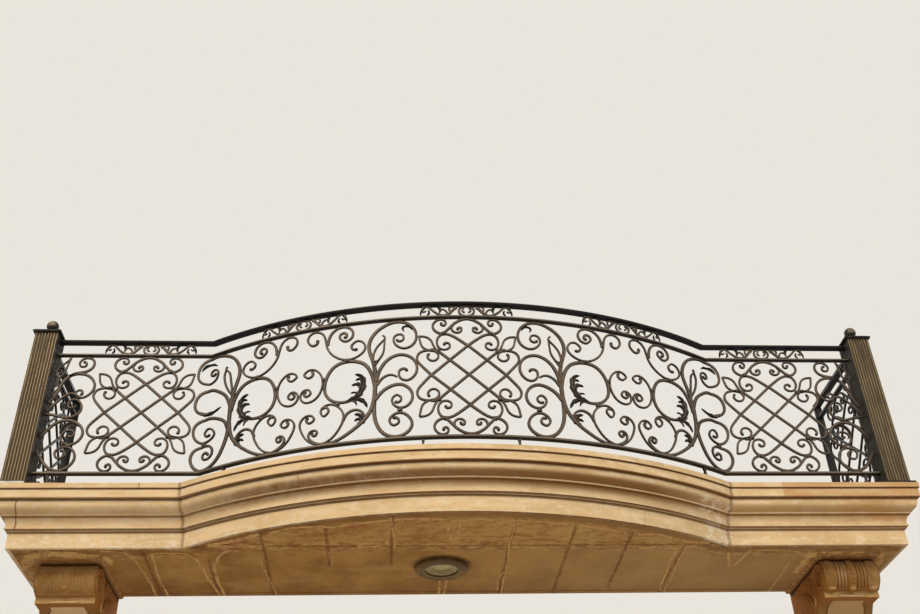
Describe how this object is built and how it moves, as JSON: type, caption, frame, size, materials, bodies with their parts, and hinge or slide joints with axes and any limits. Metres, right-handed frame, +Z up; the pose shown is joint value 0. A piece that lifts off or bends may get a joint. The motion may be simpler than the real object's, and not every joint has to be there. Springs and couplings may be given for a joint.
{
  "type": "wrought iron balcony",
  "caption": "Bow-fronted balcony: scrolled iron railing with fluted posts on a moulded stone slab with two stone consoles and a soffit lamp.",
  "frame": {"origin": "middle of the slab's flat back face, which bears on the wall", "axes": "+X right along the wall, +Y into the wall, +Z up"},
  "size_m": [4.912, 1.2128, 2.0885],
  "materials": {
    "slab_stone": "honed limestone, stained",
    "moulding_stone": "honed limestone",
    "console_stone": "carved limestone",
    "lamp_ring": "satin",
    "lamp_glass": "ribbed",
    "post_iron": "black with brushed bronze highlights",
    "rail_iron": "black",
    "scroll_iron": "black with brushed bronze highlights"
  },
  "bodies": {
    "root": {"bottom_rail_bow": "rail_iron", "bottom_rail_left": "rail_iron", "bottom_rail_right": "rail_iron", "bow_scrolls_left": "scroll_iron", "bow_scrolls_right": "scroll_iron", "centre_scrolls_left": "scroll_iron", "centre_scrolls_right": "scroll_iron", "corbel_left": "console_stone", "corbel_right": "console_stone", "cornice_bow": "moulding_stone", "cornice_left": "moulding_stone", "cornice_right": "moulding_stone", "floor_slab": "slab_stone", "frieze_bow_left": "scroll_iron", "frieze_bow_right": "scroll_iron", "frieze_centre": "scroll_iron", "frieze_left": "scroll_iron", "frieze_right": "scroll_iron", "handrail_bow": "rail_iron", "handrail_left": "rail_iron", "handrail_right": "rail_iron", "kink_scrolls_left": "scroll_iron", "kink_scrolls_right": "scroll_iron", "lattice_centre": "scroll_iron", "lattice_left": "scroll_iron", "lattice_right": "scroll_iron", "post_ball_left": "post_iron", "post_ball_right": "post_iron", "post_base_left": "post_iron", "post_base_right": "post_iron", "post_cap_left": "post_iron", "post_cap_right": "post_iron", "post_scrolls_left": "scroll_iron", "post_scrolls_right": "scroll_iron", "post_shaft_left": "post_iron", "post_shaft_right": "post_iron", "side_lattice_left": "scroll_iron", "side_lattice_right": "scroll_iron", "side_rails_left": "rail_iron", "side_rails_right": "rail_iron", "soffit_lamp_glass": "lamp_glass", "soffit_lamp_ring": "lamp_ring", "upper_rail_bow": "rail_iron", "upper_rail_left": "rail_iron", "upper_rail_right": "rail_iron"}
  },
  "joints": []
}
